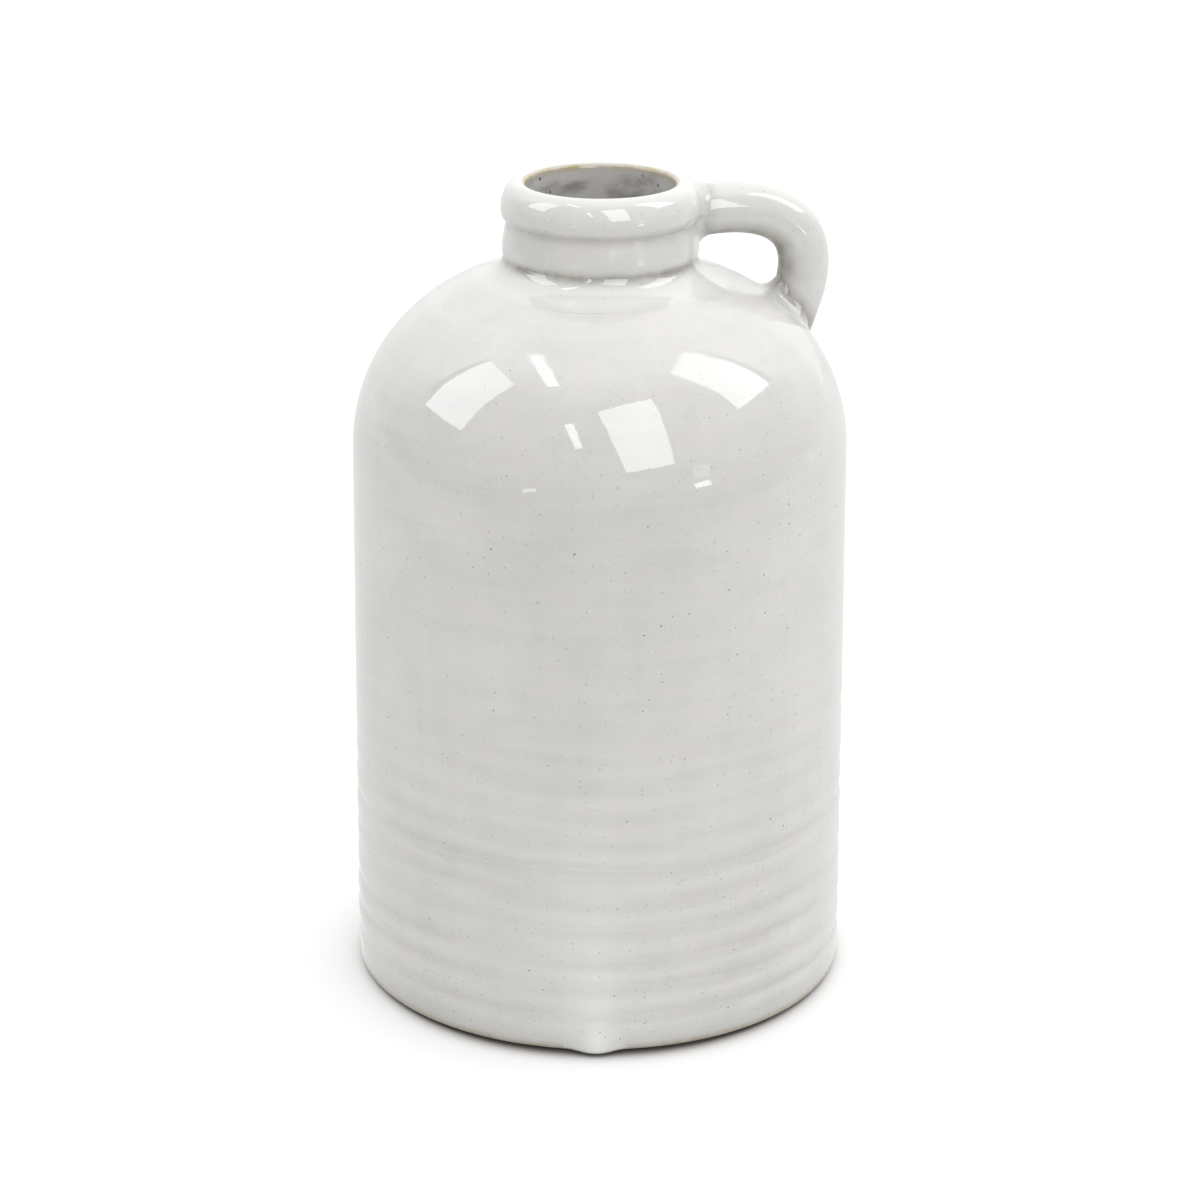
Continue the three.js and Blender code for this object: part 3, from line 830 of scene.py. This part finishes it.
def reachPot(origins, direction):
    # walks from each point along the direction up to the pot's skin
    walked = np.zeros(len(origins))
    for _ in range(handleSet["walks"]):
        gap = vesselDistance(origins + walked[:, None] * direction)
        walked += np.clip(gap, *handleSet["walkLimits"]) * handleSet["walkShare"]
    return walked


def roundFrame(origin, outOfBend, radius):
    sweep = np.broadcast_to(radius, handleTurn.shape)
    return (origin + np.outer(np.cos(handleTurn) * sweep, outOfBend)
            + np.outer(np.sin(handleTurn) * sweep, sideways))


def earHandle():
    sides = handleSet["sides"]
    free = evenly(centreLine[upperIndex:lowerIndex + 1], handleSet["rowStep"])
    ahead = np.gradient(free, axis=0)
    ahead /= np.linalg.norm(ahead, axis=1)[:, None]
    rows = [roundFrame(place, np.cross(way, sideways), handleSet["radius"])
            for place, way in zip(free, ahead)]
    for backwards in (True, False):
        _, towardsPot, _ = endAxes(backwards)
        skin = rows[0] if backwards else rows[-1]
        deep = reachPot(skin, towardsPot) + handleSet["sink"]
        middle = skin + (deep * 0.5)[:, None] * towardsPot
        end = skin + deep[:, None] * towardsPot
        rows = [end, middle] + rows if backwards else rows + [middle, end]
    skin = np.concatenate(rows)
    points = np.concatenate([skin, [rows[0].mean(0), rows[-1].mean(0)]])
    obj = bareObject("earHandle", points, gridFaces(len(rows), sides, False) + endFans(len(rows), sides))
    uneven = np.repeat(middling(len(rows), len(rows), ramp=14), sides)
    giveValues(obj, outside=np.concatenate([uneven, [0, 0]]))
    obj = withRings(obj, Ridge=0.0)
    # painted shade inside the bend and near the pot, in the pooled glaze colour
    span = 1 - handleSet["undersideShadeFrom"]
    undersideShade = np.clip(-handleSet["undersideShadeFrom"] - np.cos(handleTurn), 0, span) / span
    undersideShade **= handleSet["undersideShadePower"]
    near = unit(handleSet["nearShade"] - vesselDistance(skin) / handleSet["nearReach"])
    near *= np.where(skin[:, 2] < handleSet["nearSplit"], handleSet["nearFoot"], handleSet["nearRim"])
    stainAndShade = np.clip(np.tile(undersideShade, len(rows)) + near, 0, handleSet["mostShade"])
    # painted light over the whole handle, carried by the run attribute
    giveValues(obj, pool=np.concatenate([stainAndShade, [0, 0]]), run=np.full(len(points), handleSet["light"]))
    return finished(obj, "handle")


def handleLute(name, style, backwards, cadNode):
    form, turn, radius = luteForm, handleTurn, handleSet["radius"]
    origin, towardsPot, outOfBend = endAxes(backwards)

    def sleeve(size):
        return roundFrame(origin, outOfBend, size)

    uneven = sum(share * np.sin(number * turn + late * style["seed"]) for share, number, late in form["waves"])
    uneven *= style["press"]
    width = roundMix(style["reach"]) * (1 + form["reachPress"] * uneven)
    deep = reachPot(sleeve(radius), towardsPot)
    spread = []
    for extra in (0.0, form["probe"]):
        wide = sleeve(radius + width + extra)
        spread.append(wide + reachPot(wide, towardsPot)[:, None] * towardsPot)
    edge = spread[0]
    along = spread[1] - spread[0]
    along /= np.linalg.norm(along, axis=1)[:, None]
    normals = np.zeros_like(edge)
    for i, p in enumerate(edge):
        spot, normal, _, _ = vesselSkin.find_nearest(Vector(p))
        normals[i] = normal
        edge[i] = np.array(spot) - form["edgeSink"] * np.array(normal)
    crease = roundMix(style["rise"]) * (1 + uneven)
    bead = roundMix(style["bead"]) * (1 + uneven)
    start = sleeve(radius - form["startSink"]) + (deep - crease)[:, None] * towardsPot
    halfway = (deep - crease * 0.5)[:, None] * towardsPot
    swell = sleeve(radius + bead * form["beadPull"]) + halfway
    settle = edge - along * (width * form["settle"])[:, None]
    face = bend([start, swell, settle, edge], form["faceRows"])
    sunkEdge = edge - normals * form["bury"] - along * form["buryIn"]
    sunkStart = sleeve(radius - form["core"]) + halfway
    rows = np.concatenate([face, [sunkEdge, sunkStart]])
    obj = bareObject(name, rows.reshape(-1, 3), gridFaces(len(rows), len(turn), True))
    # stain and painted shade in the crease round the handle, more inside the bend
    pool = np.zeros((len(rows), len(turn)))
    shade = style["stainAndShade"] + form["bendShade"] * unit(-np.cos(turn))
    last = form["faceRows"] - 1
    for row in range(form["stainRows"]):
        pool[row] = (1 - row / form["stainRows"]) ** style["fade"] * shade
    # stain and painted shade along the edge on the pot
    for row in range(form["stainRows"], last + 1):
        pool[row] += style["hem"] * (row - form["stainRows"]) / (last - form["stainRows"])  # along the pot
    giveValues(obj, pool=pool.ravel())
    return finished(obj, cadNode)


earHandle()
handleLute("upperLute", upperLuteSet, True, "upper_lute")
handleLute("lowerLute", lowerLuteSet, False, "lower_lute")


# bead of glaze at the foot


def glazeRun():
    behind = (wall, band, foot)
    skin = treeOf(*behind)
    # the stain and painted shade of the grooves behind carry on into the run
    stainAndShade = {o.name: o.data.attributes["pool"].data for o in (wall, band)}
    shade = [np.mean([stainAndShade[o.name][v].value for v in p.vertices]) if o.name in stainAndShade else 0.0
             for o in behind for p in o.data.polygons]
    across, up = runSet["across"], runSet["up"]
    pool, rows = [], []
    turn = math.radians(runSet["turn"])
    low, high = runSet["clearance"], runSet["clearance"] + runSet["height"]
    for row in range(up + 1):
        share = row / up
        z = low + (high - low) * share ** runSet["rowPower"]
        rise = z - low
        foothold = math.sqrt(max(0.0, 1 - (1 - min(rise / runSet["hang"], 1)) ** 2))  # round lower end
        half = runSet["width"] / 2 * (1 - runSet["narrowing"] * share)
        half *= max(foothold, runSet["leastHold"]) ** runSet["holdPower"]
        half *= 1 if row < up else runSet["tip"]
        thick = runSet["thickness"] * foothold * math.exp(-(rise / runSet["fall"]) ** 2)
        front, back = [], []
        for c in range(across + 1):
            u = 2 * c / across - 1
            angle = turn + u * half / wallRadius
            way = np.array([math.cos(angle), math.sin(angle), 0])
            far = way * runSet["castFrom"] + [0, 0, max(z, runSet["lowestCast"])]
            spot, _, face, _ = skin.ray_cast(Vector(far), Vector(-way))
            pool.append(shade[face] if spot else 0.0)
            wallAt = math.hypot(spot[0], spot[1]) if spot else wallRadius - footSet["inset"]
            swell = math.cos(u * math.pi / 2) ** 2  # soft flanks
            bodyLine = wallAt
            if z < footSet["edge"]:
                bodyLine = max(wallAt, wallRadius - turnedIn(z) - runSet["bodyInset"])
            filled = (bodyLine - wallAt) * min(1, runSet["bodyReach"] * swell) * foothold
            radius = wallAt + filled + thick * swell
            front.append(way * (radius if 0 < c < across else wallAt - runSet["edgeSink"]) + [0, 0, z])
            back.append(way * (wallAt - runSet["backSink"]) + [0, 0, z])
        rows.append(front + back[::-1])
        pool += pool[:-across - 2:-1]
    rows = np.array(rows)
    columns = rows.shape[1]
    points = rows.reshape(-1, 3)
    last = len(points) - columns
    faces = gridFaces(len(rows), columns, False)
    faces += [tuple(range(columns)), tuple(last + c for c in range(columns))]
    obj = bareObject("glazeRun", points, faces)
    giveValues(obj, run=runShare(points), pool=pool, dotted=unit(2 - points[:, 2] / runSet["dottedHeight"]))
    return finished(obj, "glaze_run")


glazeRun()
print("pot ready")


# table, light and camera

viewSet = dict(
    turn=-14.0, pitch=20.1, roll=0.169, lens=100.86, sensor=36.0, aside=0.00025, back=1.035, height=0.503)
# paper in metres, its painted shadow close round the foot in millimetres, and the dark shade disc below it in
# metres
tableSet = dict(
    half=12.0, paper=(0.865, 0.865, 0.865), roughness=0.9, shade=(0.06, 0.035, 0.016), shadeFrom=73.3,
    shadeWidth=3.5, shadePower=1.5, shadeShare=0.8, forward=7.0, shadeDiscRadius=0.087, shadeDiscZ=-0.0003,
    shadeDiscSides=64, shadeDiscColour=(0.02, 0.02, 0.02))


def staged(name, points, faces, finish, *unseenBy):
    mesh = bpy.data.meshes.new(name)
    mesh.from_pydata(points, [], faces)
    mesh.materials.append(finish)
    obj = linked(name, mesh)
    for ray in unseenBy:
        setattr(obj, "visible_" + ray, False)
    return obj


def table():
    inputs = {"Roughness": tableSet["roughness"], "Specular IOR Level": 0.0}
    made, tree, shader = newFinish("tablePaper", inputs)
    # painted shadow on the paper close round the foot, most at the front
    turn = math.radians(viewSet["turn"] - 90)
    front = (tableSet["forward"] * math.cos(turn), tableSet["forward"] * math.sin(turn), 0)
    place = vectorMaths(tree, "DISTANCE", surfaceMillimetres(tree), front)
    away = maths(tree, "MAXIMUM", maths(tree, "SUBTRACT", place, tableSet["shadeFrom"]), 0.0)
    steep = maths(tree, "POWER", maths(tree, "DIVIDE", away, tableSet["shadeWidth"]), tableSet["shadePower"])
    dark = maths(tree, "EXPONENT", product(tree, steep, -1.0))
    dark = product(tree, dark, tableSet["shadeShare"])
    paper = blendColour(tree, dark, tableSet["paper"], tableSet["shade"])
    tree.links.new(paper, shader.inputs["Base Color"])
    half = tableSet["half"]
    corners = [(-half, -half, 0), (half, -half, 0), (half, half, 0), (-half, half, 0)]
    # the lower half of the sky stands in for its bounce
    staged("table", corners, [(0, 1, 2, 3)], made, "diffuse", "glossy")
    # dark disc below the paper, a painted shade standing in for the shaded floor that the pot stands in
    inputs = {"Base Color": (*tableSet["shadeDiscColour"], 1), "Specular IOR Level": 0.0}
    made, tree, shader = newFinish("shade", inputs)
    radius, sides = tableSet["shadeDiscRadius"], tableSet["shadeDiscSides"]
    ring = [(radius * math.cos(a), radius * math.sin(a), tableSet["shadeDiscZ"]) for a in fullTurn(sides)]
    staged("shade", ring, [tuple(range(sides))], made, "camera", "glossy")


# softboxes, seen in the glaze only: directions in degrees, widths, height and slant of the sides in metres
lightSet = dict(
    leftBox=dict(turn=175, climb=37, twist=-1, top=0.48, bottom=0.65, tall=0.81, slant=0.04, glow=5.5),
    rightBox=dict(turn=-17, climb=46, twist=-3, top=0.4, bottom=0.62, tall=0.83, slant=-0.11, glow=5.7),
    frontBox=dict(turn=-84, climb=31, twist=10, top=0.6, bottom=0.56, tall=0.97, slant=0.01, glow=5.9),
    topStrip=dict(turn=-161, climb=66, twist=-26, top=0.52, bottom=0.54, tall=0.11, slant=0.02, glow=7.8),
    sideStrip=dict(turn=-117, climb=31, twist=17, top=0.09, bottom=0.08, tall=0.36, slant=-0.02, glow=8.0),
    lampLeft=dict(turn=-134.5, climb=-2.5, twist=17, top=0.15, bottom=0.14, tall=0.04, slant=0.0, glow=5.0),
    lampRight=dict(turn=-58, climb=-1.4, twist=3, top=0.17, bottom=0.17, tall=0.07, slant=-0.01, glow=8.0),
    paneRight=dict(turn=-58, climb=6.3, twist=-7, top=0.17, bottom=0.16, tall=0.16, slant=-0.01, glow=1.6))
# black strips beside two of them: name, which side of the box, width at the top and at the bottom
flagSet = dict(leftBox=("leftFlag", -1, 0.04, 0.14), rightBox=("rightFlag", 1, 0.045, 0.1))
lightAway, lightAim = 1.36, Vector((0, 0, 0.2))
lightColour = (0.94, 0.955, 1)


def glowFinish(name, colour):
    inputs = {"Base Color": (0, 0, 0, 1), "Specular IOR Level": 0.0, "Emission Color": (*colour, 1)}
    made, tree, shader = newFinish(name, inputs)
    return made, tree, shader.inputs["Emission Strength"]


def lightPanel(name, box, topSpan, lowSpan, glow):
    # a panel that faces the pot, from two places along its top edge and two along its lower edge
    made, tree, strength = glowFinish(name, lightColour)
    strength.default_value = glow
    turn, climb, twist = (math.radians(box[key]) for key in ("turn", "climb", "twist"))
    facing = Matrix.Rotation(turn, 3, "Z") @ Matrix.Rotation(-climb, 3, "Y") @ Matrix.Rotation(twist, 3, "X")
    up = box["tall"] / 2
    flat = [(aside, up) for aside in topSpan] + [(aside, -up) for aside in lowSpan[::-1]]
    corners = [lightAim + facing @ Vector((lightAway, *spot)) for spot in flat]
    # the sky lights pot and table
    staged(name, corners, [(0, 1, 2, 3)], made, "camera", "diffuse", "shadow")


def studio():
    for name, box in lightSet.items():
        top = [box["slant"] + side * box["top"] / 2 for side in (-1, 1)]
        low = [-box["slant"] + side * box["bottom"] / 2 for side in (-1, 1)]
        lightPanel(name, box, top, low, box["glow"])
        if name in flagSet:
            flag, side, topWide, lowWide = flagSet[name]
            topEdge, lowEdge = top[side > 0], low[side > 0]
            topSpan = (topEdge, topEdge + side * topWide)
            lightPanel(flag, box, topSpan, (lowEdge, lowEdge + side * lowWide), 0.0)


skySet = dict(below=0.965, level=0.965, overhead=1.735, rightwards=0.27, backwards=0.17)
# unlit room in front of the pot, seen in the glaze only: angles in degrees, its edges fade inwards;
# its ceiling comes down past the softboxes, with a lit wall above and beside it
roomSet = dict(
    half=140, sideFade=40, low=-40, high=71, highFade=18, floorFront=-23, floorSide=-10, floorFade=8,
    dropTurns=(60, 120), drop=40, lit=1.0, litClimbs=(10, 45), litTurns=(-30, 30), litRight=0.5,
    tableFront=1.4, tableSide=0.6, tableTurns=(0, 45, 80), tableClimbs=(-26, -19), share=0.88, away=3.0,
    columns=57, rows=45)


def roomGlow(turns, climbs):
    high, half = roomSet["high"], roomSet["half"]
    sides = unit((half - abs(turns)) / roomSet["sideFade"])
    # the room shows past the front edge of the table, lowest straight ahead
    deeper = roomSet["floorFront"] - roomSet["floorSide"]
    floor = roomSet["floorSide"] + deeper * np.cos(np.radians(turns))
    ceiling = np.interp(abs(turns), roomSet["dropTurns"], (high, high - roomSet["drop"]))
    inner = sides * unit((climbs - floor) / roomSet["floorFade"])
    inner *= unit((ceiling - climbs) / roomSet["highFade"])
    rising = np.sin(np.radians(climbs)) * (skySet["overhead"] - skySet["level"])
    level = np.where(climbs > 0, skySet["level"] + rising, skySet["below"])
    # the table is brightest straight ahead and shaded by the pot at its sides
    shades = (roomSet["tableFront"], 1, roomSet["tableSide"], 1)
    shaded = np.interp(abs(turns), (*roomSet["tableTurns"], half), shades)
    level *= np.interp(climbs, roomSet["tableClimbs"], (1, 0)) * (shaded - 1) + 1
    lit = np.interp(climbs, (*roomSet["litClimbs"], high), (0, roomSet["lit"], 0)) * sides
    lit *= np.interp(turns, roomSet["litTurns"], (1, roomSet["litRight"]))  # brighter on the left
    return (level + lit) * (1 - roomSet["share"] * inner)


def darkRoom():
    columns, rows = roomSet["columns"], roomSet["rows"]
    turns, climbs = np.meshgrid(np.linspace(-roomSet["half"], roomSet["half"], columns),
                                np.linspace(roomSet["low"], roomSet["high"], rows))
    turn, climb = np.radians(turns.ravel() - 90 + viewSet["turn"]), np.radians(climbs.ravel())
    ways = np.column_stack([np.cos(climb) * np.cos(turn), np.cos(climb) * np.sin(turn), np.sin(climb)])
    corners = [r * columns + c for r in range(rows - 1) for c in range(columns - 1)]
    faces = [(k, k + 1, k + columns + 1, k + columns) for k in corners]
    made, tree, strength = glowFinish("darkRoom", (1, 1, 1))
    tree.links.new(painted(tree, "glow"), strength)
    points = (ways * roomSet["away"]).tolist()
    obj = staged("darkRoom", points, faces, made, "camera", "diffuse", "shadow")
    giveValues(obj, glow=roomGlow(turns, climbs).ravel())


def surroundings():
    world = bpy.data.worlds.new("studio")
    bpy.context.scene.world = world
    world.use_nodes = True
    tree = world.node_tree
    tree.nodes.clear()
    way = node(tree, "ShaderNodeTexCoord").outputs["Generated"]
    height = node(tree, "ShaderNodeSeparateXYZ", {0: way}).outputs[2]
    strength = maths(tree, "MULTIPLY_ADD", height, skySet["overhead"] - skySet["level"], skySet["level"])
    turn = math.radians(viewSet["turn"])
    lean = Matrix.Rotation(turn, 3, "Z") @ Vector((skySet["rightwards"], skySet["backwards"], 0))
    uneven = vectorMaths(tree, "DOT_PRODUCT", way, lean)
    below = maths(tree, "LESS_THAN", height, 0.0)
    above = maths(tree, "SUBTRACT", 1.0, below)
    strength = product(tree, maths(tree, "ADD", strength, uneven), above)
    strength = maths(tree, "MULTIPLY_ADD", below, skySet["below"], strength)
    sky = node(tree, "ShaderNodeBackground", {"Color": (1, 1, 1, 1), "Strength": strength})
    node(tree, "ShaderNodeOutputWorld", {"Surface": sky.outputs[0]})


def photoCamera():
    data = bpy.data.cameras.new("camera")
    data.lens = viewSet["lens"]
    data.sensor_width = viewSet["sensor"]
    turn = math.radians(viewSet["turn"])
    aim = Euler((math.radians(90 - viewSet["pitch"]), 0, turn)).to_matrix()
    obj = linked("camera", data)
    spot = Vector((viewSet["aside"], -viewSet["back"], viewSet["height"]))
    obj.location = Matrix.Rotation(turn, 3, "Z") @ spot
    obj.rotation_euler = (aim @ Matrix.Rotation(math.radians(viewSet["roll"]), 3, "Z")).to_euler()
    bpy.context.scene.camera = obj


table()
studio()
darkRoom()
surroundings()
photoCamera()
bpy.context.scene.view_settings.view_transform = "Standard"
print("studio ready")
